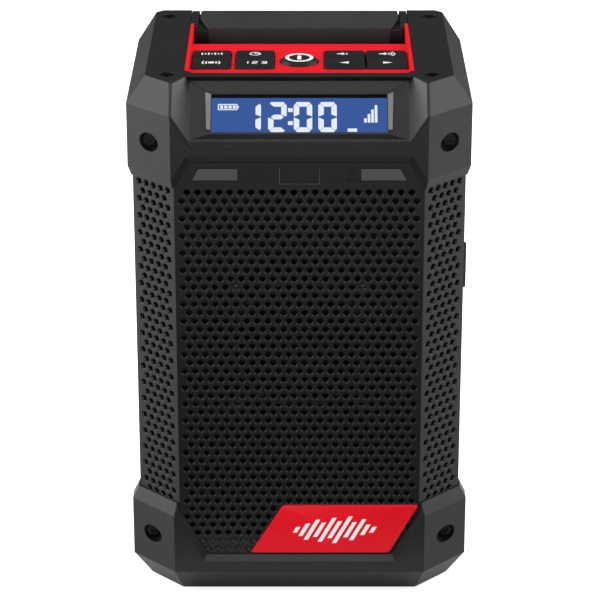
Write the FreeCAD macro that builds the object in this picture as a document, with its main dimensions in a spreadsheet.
"""Compact jobsite radio and charger: guards, perforated front, display, keys, speaker and charging bay."""
import FreeCAD, Part
import math
import os
import re
import Sketcher

# Sizes in millimetres: alias, value, meaning
SIZES = [
    ("depth", 133.0, "front to back over both guards"),
    ("guard_width", 159.0, "lower guard, side to side"),
    ("frame_width", "=guard_width - 3", "upper frame, side to side"),
    ("body_width", "=guard_width - 7.4", "grille and housing, side to side"),
    ("body_recess", 2.0, "grille face behind the guard face"),
    ("front_cut", 20.5, "corner cut of the guards at the front"),
    ("rear_cut", 12.0, "corner cut of the guards at the back"),
    ("body_front_cut", 19.5, "corner cut of the body at the front"),
    ("body_rear_cut", 11.0, "corner cut of the body at the back"),
    ("fit_gap", 0.2, "clearance between nested shells"),
    ("seam_gap", 0.3, "clearance between neighbouring pieces"),
    ("rim", 0.7, "width of the thin edge where a guard meets the body"),
    ("wall", 3.0, "housing wall"),
    ("foot_rise", 1.0, "guard floor above the ground"),
    ("base_bevel", 8.5, "inward slope under the guard"),
    ("base_bevel_top", 13.5, "height where the guard's slope ends"),
    ("guard_shoulder", 42.6, "height where the guard's top bevel starts"),
    ("guard_top", 48.7, "top of the guard's corner posts"),
    ("dip_floor", 23.0, "low edge of the guard between its posts"),
    ("dip_half", "=guard_width / 2 - 36.4", "half width of that low edge at the front"),
    ("dip_slope", 0.587, "sideways run of the posts' inner edges per unit of height"),
    ("dip_bevel", 3.8, "width of the bevel around each opening of the guards"),
    ("side_dip_half", 22.0, "half length of the low edge at the sides"),
    ("guard_floor", 3.5, "thickness of the guard's floor"),
    ("frame_low", "=frame_top - 45.7", "lowest edge of the upper frame"),
    ("frame_bevel_top", "=frame_top - 41.2", "height where the frame's low bevel ends"),
    ("frame_shoulder", "=frame_top - 11.5", "height where the frame starts to slope in"),
    ("frame_top", 251.5, "top face of the rails"),
    ("apron_low", "=frame_top - 33.7", "lower edge of the frame's front apron"),
    ("apron_half", "=frame_width / 2 - 29.2", "half width of the apron's straight edge"),
    ("roof_under", "=frame_top - 13.5", "underside of the frame's roof"),
    ("top_half", "=frame_width / 2 - 8.5", "half width over the rails' top faces"),
    ("top_front", 14.3, "set back of the rails' front tips"),
    ("top_front_cut", 11.2, "corner cut of the top face at the front"),
    ("top_rear_cut", 3.4, "corner cut of the top face at the back"),
    ("rail_skin", 3.2, "thickness of the rails' shell"),
    ("deck_half", "=frame_width / 2 - 25.7", "half width of the opening between the rails"),
    ("deck_front", 29.0, "front edge of that opening, from the front face"),
    ("deck_corner", 4.0, "corner cut of that opening"),
    ("display_foot", "=frame_top - 22.8", "height where the display slope meets the front face"),
    ("display_slope", 40.8, "angle of the display slope above the horizontal"),
    ("display_half", "=deck_half - 3", "half width of the display slope"),
    ("wing_rise", 8.6, "height of the side wings over the display slope"),
    ("wing_run", 7.4, "sideways run of the side wings"),
    ("bezel_floor", 3.3, "thickness of the bezel under the display slope"),
    ("bezel_side", 1.3, "thickness of the bezel's wings"),
    ("bezel_land", 0.9, "flat border of the bezel round the recess"),
    ("recess_length", 30.6, "recess of the bezel, up the slope"),
    ("recess_depth", 2.3, "depth of that recess"),
    ("screen_half", "=deck_half - 13", "half width of the visible screen"),
    ("screen_height", 20.0, "visible screen, up the slope"),
    ("screen_start", 6.0, "lower edge of the screen, up the slope"),
    ("window_border", 2.2, "border of the window behind the bezel"),
    ("window_thick", 1.2, "clear window"),
    ("lcd_thick", 2.6, "glass of the liquid crystal display"),
    ("light_thick", 2.4, "diffuser behind the display"),
    ("board_thick", 1.6, "printed circuit boards"),
    ("panel_drop", 2.0, "control panel below the rails' top"),
    ("panel_thick", 2.2, "control panel plate"),
    ("panel_rear", 81.5, "rear edge of the control panel, from the front face"),
    ("skirt_thick", 2.2, "thickness of that skirt"),
    ("wing_tip", "=depth - 23", "rear tip of the panel's side wings, from the front face"),
    ("side_wall", 1.8, "width of the panel's side wings"),
    ("key_width", "=(deck_half - key_margin - key_inner - key_column_gap) / 2", "each rectangular key"),
    ("key_length", 12.6, "each rectangular key, front to back"),
    ("key_gap", 0.3, "clearance round each key"),
    ("key_proud", 1.1, "key tops above the panel"),
    ("key_under", 4.2, "depth of the keys below the panel face"),
    ("key_row_front", 47.9, "centre of the front row of keys, from the front face"),
    ("key_row_rear", 60.8, "centre of the rear row of keys, from the front face"),
    ("key_column_outer", "=deck_half - key_margin - key_width / 2", "centre of the outer left keys"),
    ("key_column_inner", "=key_inner + key_width / 2", "centre of the inner left keys"),
    ("key_right_inner", "=key_inner + key_right_width / 2", "centre of the inner right keys"),
    ("key_right_outer", "=deck_half - key_right_margin - key_right_width / 2",
     "centre of the outer right keys"),
    ("key_right_width", "=(deck_half - key_right_margin - key_inner - key_right_gap) / 2",
     "each key of the right block"),
    ("key_edge", 0.9, "rounding of the keys' top edges"),
    ("power_radius", 8.8, "power key"),
    ("power_place", 53.2, "centre of the power key, from the front face"),
    ("power_dome", 1.9, "height of the power key's slope"),
    ("power_top_radius", 6.9, "flat top of the power key"),
    ("key_travel", 1.0, "travel of every key"),
    ("membrane_thick", 1.2, "silicone sheet under the keys"),
    ("handle_front", "=depth - 29.8", "front face of the handle, from the front face"),
    ("handle_height", 20.0, "height of the handle bar"),
    ("handle_drop", 2.0, "handle core below the grip's top"),
    ("handle_round", 9.0, "rounding of the handle's lower front edge"),
    ("grip_half", "=deck_half - 4.4", "half length of the grip at the back"),
    ("grip_front_half", "=deck_half - 8.7", "half length of the grip at the front"),
    ("grip_straight", 12.5, "straight ends of the grip"),
    ("hand_floor", "=frame_top - 39", "floor of the hand opening"),
    ("well_thick", 2.2, "plate under the hand opening"),
    ("housing_low", "=base_bevel_top", "underside of the housing"),
    ("housing_top", "=frame_top - 14.5", "top of the housing's walls"),
    ("shell_seam", 31.5, "joint of grille and housing, from the front face"),
    ("partition", "=frame_top - 51.5", "plate over the sound chamber"),
    ("grille_thick", 2.5, "wall of the front grille"),
    ("grille_low", 20.0, "lowest edge of the grille"),
    ("grille_top", "=frame_top - 32.7", "highest edge of the grille"),
    ("hole_pitch", 4.8, "spacing of the grille's holes"),
    ("hole_radius", 1.3, "holes of the grille"),
    ("hole_first", "=frame_top - 47.9", "height of the top row of holes"),
    ("open_radius", 37.0, "round field of holes before the speaker"),
    ("speaker_height", 128.0, "height of the speaker's axis"),
    ("baffle_front", 10.4, "front of the baffle, from the front face"),
    ("baffle_thick", 4.0, "speaker baffle"),
    ("flange_radius", 42.0, "speaker frame"),
    ("flange_thick", 1.5, "speaker frame's flange"),
    ("cone_radius", 27.0, "moving cone"),
    ("cone_depth", 11.0, "depth of the cone"),
    ("coil_radius", 10.0, "voice coil"),
    ("magnet_radius", 21.0, "speaker magnet"),
    ("magnet_length", 12.0, "speaker magnet"),
    ("radiator_height", "=frame_top - 101.5", "height of the passive radiator's axis"),
    ("radiator_radius", 30.0, "hole for the passive radiator"),
    ("radiator_disc", 22.0, "moving disc of the radiator"),
    ("rear_grille_radius", 37.0, "round grille at the back"),
    ("rear_grille_thick", 2.4, "round grille at the back"),
    ("bay_width", 58.0, "battery bay, outside"),
    ("bay_height", 60.0, "battery bay, outside"),
    ("bay_middle", 62.0, "height of the battery bay's middle"),
    ("bay_depth", 66.0, "battery bay, outside"),
    ("bay_wall", 2.4, "battery bay's wall"),
    ("shelf_depth", 20.0, "wide mouth of the battery bay"),
    ("stem_width", 38.0, "socket for the battery's stem"),
    ("stem_height", 42.0, "socket for the battery's stem"),
    ("bay_flange", 4.0, "border of the bay over the housing"),
    ("flange_skin", 1.6, "thickness of that border"),
    ("port_height", 150.0, "height of the side port"),
    ("port_place", 8.0, "side port, behind the middle"),
    ("port_length", 42.0, "side port door, front to back"),
    ("port_rise", 22.0, "side port door"),
    ("port_skin", 2.0, "side port door"),
    ("port_margin", 3.5, "port opening inside the door's outline"),
    ("pin_radius", 0.75, "hinge pin of the port door"),
    ("pin_clear", 0.06, "running clearance of the hinge pin"),
    ("jack_radius", 1.8, "audio socket's bore"),
    ("inlet_radius", 2.8, "power inlet's bore"),
    ("inlet_height", 62.0, "height of the power inlet"),
    ("inlet_place", "=body_width / 2 - 29.8", "power inlet, beside the middle"),
    ("frame_screw_x", "=frame_width / 2 - 10.6", "upper corner screws, beside the middle"),
    ("frame_screw_z", "=frame_top - 26.6", "height of the upper corner screws"),
    ("guard_screw_x", "=guard_width / 2 - 9.9", "lower corner screws, beside the middle"),
    ("guard_screw_z", 28.4, "height of the lower corner screws"),
    ("screw_well", 4.35, "bore over each corner screw"),
    ("screw_seat", 17.5, "seat of the corner screws, from the front face"),
    ("screw_boss", 5.6, "boss round each corner screw"),
    ("screw_head", 3.6, "heads of the corner screws"),
    ("screw_head_tall", 2.6, "heads of the corner screws"),
    ("screw_shank", 1.9, "shanks of the corner screws"),
    ("screw_length", 18.0, "shanks of the corner screws"),
    ("rail_screw_front", 26.8, "front rail screws, from the front face"),
    ("rail_screw_rear", "=depth - 10.5", "rear rail screws, from the front face"),
    ("rail_screw_x_front", "=(deck_half + top_half) / 2 - 1.1", "front rail screws, beside the middle"),
    ("rail_screw_x_rear", "=(deck_half + top_half) / 2 + 1.8", "rear rail screws, beside the middle"),
    ("rail_screw_head", 3.2, "heads of the rail screws"),
    ("rail_screw_length", 20.0, "rail screws"),
    ("lens_outer", "=body_width / 2 - body_front_cut - 8.1", "outer end of each indicator lens"),
    ("lens_inner", 27.6, "inner end of each indicator lens"),
    ("lens_low", "=frame_top - 42.1", "lower edge of the indicator lenses"),
    ("lens_tall", 5.5, "height of the indicator lenses"),
    ("lens_slant", 2.9, "slant of the lenses' outer ends"),
    ("plate_half", 8.8, "half width of the blank recess in the grille's band"),
    ("plate_low", "=frame_top - 43.4", "lower edge of that recess"),
    ("plate_tall", 7.1, "height of that recess"),
    ("plate_deep", 0.8, "depth of that recess"),
    ("badge_low", 23.3, "lower edge of the red badge"),
    ("badge_tall", 24.8, "height of the red badge"),
    ("badge_left_low", "=65.2 - badge_right_low", "lower left corner of the badge, left of the middle"),
    ("badge_left_high", "=63.7 - badge_right_high", "upper left corner of the badge, left of the middle"),
    ("badge_right_low", "=badge_right_high - 13.7", "lower right corner of the badge"),
    ("badge_right_high", "=body_width / 2 - body_front_cut - 0.3", "upper right corner of the badge"),
    ("badge_thick", 1.2, "badge plate"),
    ("ledge", 2.3, "ledge of the frame that carries the control panel"),
    ("display_end", 32.4, "rear end of the display slope, up the slope"),
    ("post_radius", 2.4, "small screw posts"),
    ("small_shank", 1.1, "shanks of the small screws"),
    ("small_head", 2.2, "heads of the small screws"),
    ("boss_end", 22.5, "rear end of the corner bosses, from the front face"),
    ("sleeve_gap", 2.8, "inner sleeve of the housing, inside the grille's outline"),
    ("sleeve_wall", 3.0, "wall of that sleeve"),
    ("baffle_back", "=baffle_front + baffle_thick", "back of the baffle, from the front face"),
    ("speaker_hole", 36.0, "hole of the baffle"),
    ("post_top_radius", 4.5, "housing posts under the rails"),
    ("board_low", "=frame_top - 47.9", "underside of the main board"),
    ("floor_hole", 11.0, "half size of the drain opening in the guard's floor"),
    ("foot_length", 26.0, "rubber feet"),
    ("foot_width", 11.0, "rubber feet"),
    ("foot_sink", 1.5, "depth of the feet in the guard"),
    ("foot_x", "=guard_width / 2 - 31.5", "feet, beside the middle"),
    ("foot_y", "=depth / 2 - 22.5", "feet, before and behind the middle"),
    ("key_margin", 3.0, "left keys inside the deck's side"),
    ("key_inner", 11.5, "inner edge of both key blocks, beside the middle"),
    ("key_column_gap", 2.2, "rib between the left columns"),
    ("key_right_margin", 2.8, "right keys inside the deck's side"),
    ("key_right_gap", 0.8, "space between the right columns"),
    ("key_flange", 1.0, "lip under the panel that keeps each key in"),
    ("key_lip", 1.7, "thickness of that lip"),
    ("power_lip", 0.9, "lip that keeps the power key in"),
    ("power_rise", 0.2, "power key's straight wall above the panel"),
    ("past", 1.0, "how far a cut runs past the face it opens"),
    ("lap", 0.5, "how far an added step reaches into the one before it"),
    ("screw_clear", 0.1, "clearance of a screw in plastic"),
    ("apron_slope", 0.6, "sideways run of the apron's ends per unit of height"),
    ("apron_bevel", 3.5, "width of the bevel round the apron"),
    ("boss_front", 4.0, "front end of the corner bosses, from the front face"),
    ("boss_rear", 40.0, "rear end of the housing's bosses, from the front face"),
    ("boss_blind", 2.0, "solid end of each blind screw hole"),
    ("rail_seat", 2.9, "depth of the rail screws' seats"),
    ("rail_head_tall", 2.2, "heads of the rail screws"),
    ("rail_shank", 1.6, "shanks of the rail screws"),
    ("rail_clear", 0.2, "clearance of the rail screws in frame and handle"),
    ("rail_thread", 14.0, "threaded depth of the housing's posts"),
    ("rail_hollow_front", 37.0, "front of the rails' hollows, from the front face"),
    ("rail_hollow_rear", "=depth - 25", "rear of the rails' hollows, from the front face"),
    ("rail_hollow_out", "=frame_width / 2 - 11.7", "outer side of the rails' hollows"),
    ("tongue_front", "=depth - 20", "front of the handle's tongues, from the front face"),
    ("tongue_rear", "=depth - 4", "rear of the handle's tongues, from the front face"),
    ("tongue_out", "=frame_width / 2 - 13", "outer end of the handle's tongues"),
    ("tongue_tall", 7.9, "height of the handle's tongues"),
    ("trough_under", 18.0, "room for the display's stack under the bezel"),
    ("trough_half", "=screen_half + 7.7", "half width of that room"),
    ("trough_start", 2.5, "lower end of that room, up the slope"),
    ("funnel_edge", 1.0, "ledge between the sloped recess and the screen"),
    ("film", 0.05, "height over the slope where the recess starts"),
    ("bezel_post", 2.2, "screw posts of the bezel"),
    ("bezel_post_x", "=screen_half + 5", "screw posts of the bezel, beside the middle"),
    ("bezel_post_low", 6.0, "lower screw posts, up the slope"),
    ("bezel_post_high", 27.5, "upper screw posts, up the slope"),
    ("display_board_half", "=screen_half + 7.4", "half width of the display board"),
    ("display_board_low", 3.2, "lower edge of the display board, up the slope"),
    ("display_board_high", 30.4, "upper edge of the display board, up the slope"),
    ("floor_plate", 2.4, "thickness of the plate over the sound chamber"),
    ("stand_radius", 3.0, "stands of the main board"),
    ("stand_x", "=body_width / 2 - 19.8", "stands of the main board, beside the middle"),
    ("stand_front", 42.0, "front stands, from the front face"),
    ("stand_rear", "=depth - 21", "rear stands, from the front face"),
    ("main_half", "=body_width / 2 - 15.8", "half width of the main board"),
    ("main_front", 36.0, "front edge of the main board, from the front face"),
    ("main_rear", "=depth - 15.5", "rear edge of the main board, from the front face"),
    ("chip_tall", 2.6, "height of the chips"),
    ("sink_left", "=main_half - 26", "left side of the heat sink"),
    ("sink_width", 18.0, "heat sink, both ways"),
    ("sink_base", 3.0, "base of the heat sink"),
    ("sink_tall", 15.0, "height of the heat sink"),
    ("fin_thick", 1.5, "fins of the heat sink"),
    ("fin_pitch", 4.125, "spacing of those fins"),
    ("rod_radius", 4.5, "ferrite rod of the antenna"),
    ("rod_half", "=body_width / 2 - 27.8", "half length of the ferrite rod"),
    ("rod_front", 24.0, "ferrite rod's axis, from the front face"),
    ("rod_height", "=partition + 16", "height of the ferrite rod's axis"),
    ("coil_outer", 6.2, "antenna coil"),
    ("coil_length", 26.0, "antenna coil"),
    ("rod_clear", 0.1, "clearance round the ferrite rod"),
    ("cradle_half", 5.8, "half length of the antenna's cradle, front to back"),
    ("cradle_foot", 5.0, "width of each upright of the cradle"),
    ("cradle_floor", 1.6, "thickness of the cradle's base"),
    ("cradle_rise", 1.0, "uprights of the cradle above the rod's axis"),
    ("baffle_inset", 16.8, "baffle's front edge inside the body's side"),
    ("baffle_rear_inset", 12.8, "baffle's rear edge inside the body's side"),
    ("screw_circle", 39.4, "pitch radius of the speaker's screws"),
    ("speaker_head_tall", 1.2, "heads of the speaker's screws"),
    ("speaker_screw_length", 6.0, "shanks of the speaker's screws"),
    ("mouth_radius", 34.3, "inner edge of the speaker frame's flange"),
    ("basket_seat", 35.7, "basket where it meets the baffle"),
    ("basket_shoulder", 22.0, "bend of the basket, from the front face"),
    ("basket_bend", 27.2, "basket at its bend"),
    ("basket_rear", 28.4, "rear face of the basket, from the front face"),
    ("basket_neck", 24.0, "basket at its rear face"),
    ("basket_skin", 1.5, "sheet of the basket"),
    ("gap_radius", 11.5, "hole of the magnet and of the basket"),
    ("pole_radius", 8.8, "pole piece inside the voice coil"),
    ("pole_plate", 2.6, "plate behind the magnet"),
    ("cone_lip", 9.0, "front of the cone, from the front face"),
    ("cone_skin", 0.9, "thickness of the cone"),
    ("coil_former", 9.4, "inside of the voice coil"),
    ("coil_end", 33.0, "rear end of the voice coil, from the front face"),
    ("cap_front", 14.0, "front of the dust cap, from the front face"),
    ("cap_skin", 0.9, "thickness of the dust cap"),
    ("spider_place", 23.4, "front of the spider, from the front face"),
    ("spider_skin", 0.8, "thickness of the spider"),
    ("spider_hole", 10.3, "hole of the spider"),
    ("surround_front", 8.1, "front of the surround's rims, from the front face"),
    ("surround_skin", 0.8, "thickness of both surrounds"),
    ("surround_outer", 36.9, "outer edge of the surround"),
    ("roll_inner", 28.2, "inner foot of the surround's roll"),
    ("roll_outer", 33.6, "outer foot of the surround's roll"),
    ("roll_height", 2.8, "height of both rolls"),
    ("radiator_set", 8.2, "radiator's frame, from the back face"),
    ("radiator_ring", 35.0, "outer radius of the radiator's frame"),
    ("radiator_ring_thick", 3.2, "thickness of that frame"),
    ("radiator_roll_inner", 23.2, "inner foot of the radiator's roll"),
    ("radiator_roll_outer", 29.6, "outer foot of the radiator's roll"),
    ("disc_thick", 2.4, "radiator's disc"),
    ("disc_rim", 1.6, "thickness of the disc's rim"),
    ("disc_step", 19.0, "radius of the disc's thick middle"),
    ("vent_radius", 2.7, "holes of the rear grille"),
    ("vent_pitch", 7.8, "spacing of the rings of those holes"),
    ("bay_screw_head", 1.7, "heads of the bay's screws"),
    ("bay_head_tall", 1.1, "heads of the bay's screws"),
    ("bay_screw_length", 6.0, "shanks of the bay's screws"),
    ("bay_screw_drop", 6.0, "bay's screws inside its upper and lower edges"),
    ("flange_sunk", 1.0, "border of the bay sunk in the housing"),
    ("charger_posts", 2.6, "posts of the charger board"),
    ("charger_post_x", 15.0, "posts of the charger board, beside the middle"),
    ("charger_front", "=depth - 63", "front posts of the charger board, from the front face"),
    ("charger_rear", "=depth - 33", "rear posts of the charger board, from the front face"),
    ("charger_rise", 4.0, "charger board above the bay"),
    ("charger_half", 20.0, "half width of the charger board"),
    ("charger_border", 5.0, "charger board beyond its posts"),
    ("transformer_half", 10.0, "half width of the transformer"),
    ("transformer_inset", 6.0, "transformer inside the posts, front and back"),
    ("transformer_tall", 13.0, "height of the transformer"),
    ("terminal_width", 30.0, "terminal block"),
    ("terminal_height", 16.0, "terminal block"),
    ("terminal_length", 9.0, "terminal block"),
    ("blade_length", 8.0, "blades of the terminal block"),
    ("blade_half", 5.0, "half height of those blades"),
    ("blade_thick", 0.8, "thickness of those blades"),
    ("blade_pitch", 7.0, "spacing of those blades"),
    ("inlet_body", 4.6, "power inlet's barrel"),
    ("inlet_collar", 6.5, "power inlet's collar"),
    ("inlet_length", 14.0, "power inlet"),
    ("inlet_pin", 0.8, "power inlet's centre pin"),
    ("inlet_clear", 0.3, "clearance round the power inlet"),
    ("hinge_out", 1.7, "hinge axis outside the housing"),
    ("hinge_before", 1.9, "hinge axis before the door's edge"),
    ("lug_radius", 1.4, "lugs and knuckle of the hinge"),
    ("lug_tall", 4.0, "height of each lug"),
    ("tab_length", 2.5, "finger tab of the port door"),
    ("tab_half", 4.0, "half height of that tab"),
    ("socket_deep", 14.0, "depth of the sockets behind the side port"),
    ("socket_back", 1.0, "rear wall of those sockets"),
    ("usb_middle", 9.5, "middle of the wide socket, behind the port's middle"),
    ("usb_half", 6.5, "half width of the wide socket"),
    ("usb_rise", 3.0, "half height of the wide socket"),
    ("usb_skin", 0.6, "sheet of the wide socket"),
    ("usb_tongue", 1.6, "thickness of the wide socket's tongue"),
    ("jack_middle", 9.0, "audio socket, before the port's middle"),
    ("jack_nose", 3.0, "audio socket's nose"),
    ("jack_half", 4.5, "half width of both sockets' bodies"),
    ("port_plate_thick", 2.0, "plate that carries the sockets"),
    ("port_plate_lap", 3.0, "that plate beyond the port's opening"),
    ("lens_back", 6.2, "rear face of the lenses, from the front face"),
    ("mark_inner", 21.0, "inner edge of the sign recesses beside the lenses"),
    ("mark_outer", 25.2, "outer edge of those recesses"),
    ("mark_trim", 0.8, "those recesses inside the middle one, above and below"),
    ("indicator_low", "=lens_low - 2.4", "lower edge of the indicator board"),
    ("indicator_tall", 10.0, "height of the indicator board"),
    ("keypad_front", 30.2, "front edge of the key board, from the front face"),
    ("keypad_rear", "=panel_rear - 3.5", "rear edge of the key board, from the front face"),
    ("membrane_border", 0.3, "silicone sheet beyond the keys, front and back"),
    ("panel_post_x", "=deck_half - 10.3", "posts of the control panel, beside the middle"),
    ("panel_post_front", 32.9, "front posts of the panel, from the front face"),
    ("panel_post_rear", "=panel_rear - 8.5", "rear posts of the panel, from the front face"),
    ("press_room", 0.2, "room under each pressed key"),
    ("board_head_tall", 1.4, "heads of the board screws"),
    ("board_screw_length", 4.8, "shanks of the board screws"),
    ("handle_skin", 0.2, "handle core inside the guards' outline"),
    ("handle_behind", 2.0, "handle core behind the grip's front face"),
    ("handle_foot", 8.0, "flat start of the handle's underside"),
    ("end_gap", 0.5, "space between grip and handle ends"),
    ("wing_gap", 0.5, "room round the panel's wings in the handle"),
    ("frame_bevel", 3.0, "how far the display's bed runs out past the front face"),
    ("wing_drop", 16.5, "rear foot of the panel's wings below the rails' top"),
    ("sink_front", 50.0, "front of the heat sink, from the front face"),
    ("coil_start", 8.0, "antenna coil from the end of its rod"),
    ("well_front", "=panel_rear - 4.5", "front edge of the hand opening's plate, from the front face"),
]

doc = FreeCAD.newDocument("JobsiteRadio")
sheet = doc.addObject("Spreadsheet::Sheet", "Sizes")


def fill_sheet():
    """Writes every size to its own row: name, value, meaning."""
    for row, (alias, size, meaning) in enumerate(SIZES, start=1):
        sheet.setAlias(f"B{row}", alias)
        sheet.set(f"A{row}", alias)
        sheet.set(f"C{row}", meaning)
    for row, (alias, size, meaning) in enumerate(SIZES, start=1):
        sheet.set(f"B{row}", str(size))
    doc.recompute()


ALIASES = {alias for alias, _, _ in SIZES}
WORD = re.compile(r"[A-Za-z_][A-Za-z_0-9]*")


def bound(text):
    """An expression on plain size names, as the document wants it."""
    return WORD.sub(lambda m: "Sizes." + m.group(0) if m.group(0) in ALIASES else m.group(0), str(text))


def value(text):
    """The number that an expression on size names gives now."""
    result = sheet.evalExpression(bound(text))
    return float(getattr(result, "Value", result))


def bind(obj, prop, text):
    """Ties a property to an expression on size names."""
    obj.setExpression(prop, bound(text))


class Circle:
    """A circle in a sketch: centre and radius are expressions."""

    def __init__(self, across, up, radius):
        self.across, self.up, self.radius = across, up, radius


def mirrored(outline):
    """The same outline on the other side of the sketch's upright axis."""
    if isinstance(outline, Circle):
        return Circle(f"-({outline.across})", outline.up, outline.radius)
    return [(f"-({a})", b) for a, b in reversed(outline)]


def rectangle(left, low, right, high):
    return [(left, low), (right, low), (right, high), (left, high)]


def octagon(half, front, rear, front_cut, rear_cut, grow="0"):
    """Plan outline with cut corners, front at -front and back at rear, grown outwards by grow."""
    g = f"({grow})"
    k = "(2 - sqrt(2))"
    h, f, r = f"(({half}) + {g})", f"(({front}) + {g})", f"(({rear}) + {g})"
    cf, cr = f"(({front_cut}) + {k} * {g})", f"(({rear_cut}) + {k} * {g})"
    return [
        (f"-({h} - {cf})", f"-{f}"),
        (f"{h} - {cf}", f"-{f}"),
        (h, f"{cf} - {f}"),
        (h, f"{r} - {cr}"),
        (f"{h} - {cr}", r),
        (f"-({h} - {cr})", r),
        (f"-{h}", f"{r} - {cr}"),
        (f"-{h}", f"{cf} - {f}"),
    ]


def guard_outline(grow="0"):
    return octagon("guard_width / 2", "depth / 2", "depth / 2", "front_cut", "rear_cut", grow)


def frame_outline(grow="0"):
    return octagon("frame_width / 2", "depth / 2", "depth / 2", "front_cut", "rear_cut", grow)


def body_outline(grow="0"):
    deep = "depth / 2 - body_recess"
    return octagon("body_width / 2", deep, deep, "body_front_cut", "body_rear_cut", grow)


def top_outline(grow="0"):
    return octagon("top_half", "depth / 2 - top_front", "depth / 2", "top_front_cut", "top_rear_cut", grow)


def on_slope(rise):
    """Place of a sketch parallel to the display slope."""
    return ("0", f"-depth / 2 - ({rise}) * sin(display_slope)",
            f"display_foot + ({rise}) * cos(display_slope)")


def up_slope(run):
    """Place of a sketch across the display slope."""
    return ("0", f"display_foot + ({run}) * sin(display_slope)",
            f"depth / 2 - ({run}) * cos(display_slope)")


class Piece:
    """One part-design body, built feature by feature from bound sketches."""

    AXES = {"XY": ("XY_Plane", 1), "XZ": ("XZ_Plane", -1), "YZ": ("YZ_Plane", 1)}

    def __init__(self, label, final=True):
        self.body = doc.addObject("PartDesign::Body", label)
        self.body.Label = label
        self.count = 0
        if final:
            FINAL[label] = self.body

    def sketch(self, plane, outlines, at="0", shift=None, tilt=None):
        """A sketch on an origin plane: at is its place along the plane's axis."""
        self.count += 1
        role, sign = self.AXES[plane]
        support = [o for o in self.body.Origin.OriginFeatures if o.Role == role][0]
        sk = self.body.newObject("Sketcher::SketchObject", f"{self.body.Label}_sketch_{self.count}")
        sk.AttachmentSupport = [(support, "")]
        sk.MapMode = "FlatFace"
        if tilt is not None:
            sk.AttachmentOffset = FreeCAD.Placement(
                FreeCAD.Vector(), FreeCAD.Rotation(FreeCAD.Vector(1, 0, 0), value(tilt)))
            bind(sk, "AttachmentOffset.Rotation.Angle", tilt)
            for axis, text in zip("xyz", shift):
                bind(sk, f"AttachmentOffset.Base.{axis}", text)
        else:
            bind(sk, "AttachmentOffset.Base.z", f"{sign} * ({at})")
            if shift is not None:
                bind(sk, "AttachmentOffset.Base.x", shift[0])
                bind(sk, "AttachmentOffset.Base.y", shift[1])
        for outline in outlines:
            if isinstance(outline, Circle):
                self.draw_circle(sk, outline)
            else:
                self.draw_polygon(sk, outline)
        return sk

    @staticmethod
    def draw_circle(sk, circle):
        centre = FreeCAD.Vector(value(circle.across), value(circle.up), 0)
        n = sk.addGeometry(Part.Circle(centre, FreeCAD.Vector(0, 0, 1), value(circle.radius)))
        for kind, text, number in (("DistanceX", circle.across, centre.x),
                                   ("DistanceY", circle.up, centre.y)):
            k = sk.addConstraint(Sketcher.Constraint(kind, -1, 1, n, 3, number))
            sk.setExpression(f"Constraints[{k}]", bound(text))
        k = sk.addConstraint(Sketcher.Constraint("Radius", n, value(circle.radius)))
        sk.setExpression(f"Constraints[{k}]", bound(circle.radius))

    @staticmethod
    def draw_polygon(sk, outline):
        corners = [FreeCAD.Vector(value(a), value(b), 0) for a, b in outline]
        first = sk.GeometryCount
        count = len(corners)
        for i in range(count):
            sk.addGeometry(Part.LineSegment(corners[i], corners[(i + 1) % count]))
        for i in range(count):
            sk.addConstraint(Sketcher.Constraint("Coincident", first + i, 2, first + (i + 1) % count, 1))
        for i, (across, up) in enumerate(outline):
            for kind, text, number in (("DistanceX", across, corners[i].x),
                                       ("DistanceY", up, corners[i].y)):
                k = sk.addConstraint(Sketcher.Constraint(kind, -1, 1, first + i, 1, number))
                sk.setExpression(f"Constraints[{k}]", bound(text))

    def pad(self, plane, outlines, low, high):
        """Adds the outlines' area from low to high along the plane's axis."""
        start = high if plane == "XZ" else low
        return self.extrude("PartDesign::Pad", self.sketch(plane, outlines, start), f"({high}) - ({low})")

    def cut(self, plane, outlines, low, high):
        """Removes the outlines' area from low to high along the plane's axis."""
        start = low if plane == "XZ" else high
        return self.extrude("PartDesign::Pocket", self.sketch(plane, outlines, start),
                            f"({high}) - ({low})")

    def extrude(self, kind, sk, length, middle=False):
        feature = self.body.newObject(kind, f"{self.body.Label}_step_{self.count}")
        feature.Profile = sk
        bind(feature, "Length", length)
        if middle:
            feature.Midplane = True
        return feature

    def slope_pad(self, outlines, low, high):
        """Adds outlines drawn on the display slope, from low to high above it."""
        sk = self.sketch("XY", outlines, shift=on_slope(low), tilt="display_slope")
        return self.extrude("PartDesign::Pad", sk, f"({high}) - ({low})")

    def slope_cut(self, outlines, low, high):
        """Removes outlines drawn on the display slope, from low to high above it."""
        sk = self.sketch("XY", outlines, shift=on_slope(high), tilt="display_slope")
        return self.extrude("PartDesign::Pocket", sk, f"({high}) - ({low})")

    def trough_pad(self, outlines, low, high):
        """Adds a cross section of the display trough, from low to high up the slope."""
        sk = self.sketch("XZ", outlines, shift=up_slope(high), tilt="display_slope")
        return self.extrude("PartDesign::Pad", sk, f"({high}) - ({low})")

    def trough_cut(self, outlines, low, high):
        """Removes a cross section of the display trough, from low to high up the slope."""
        sk = self.sketch("XZ", outlines, shift=up_slope(low), tilt="display_slope")
        return self.extrude("PartDesign::Pocket", sk, f"({high}) - ({low})")

    def loft(self, kind, sections):
        """Joins two or more sketches by flat faces: kind is Additive or Subtractive."""
        feature = self.body.newObject(f"PartDesign::{kind}Loft", f"{self.body.Label}_loft_{self.count}")
        feature.Profile = sections[0]
        feature.Sections = sections[1:]
        feature.Ruled = True
        return feature

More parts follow.
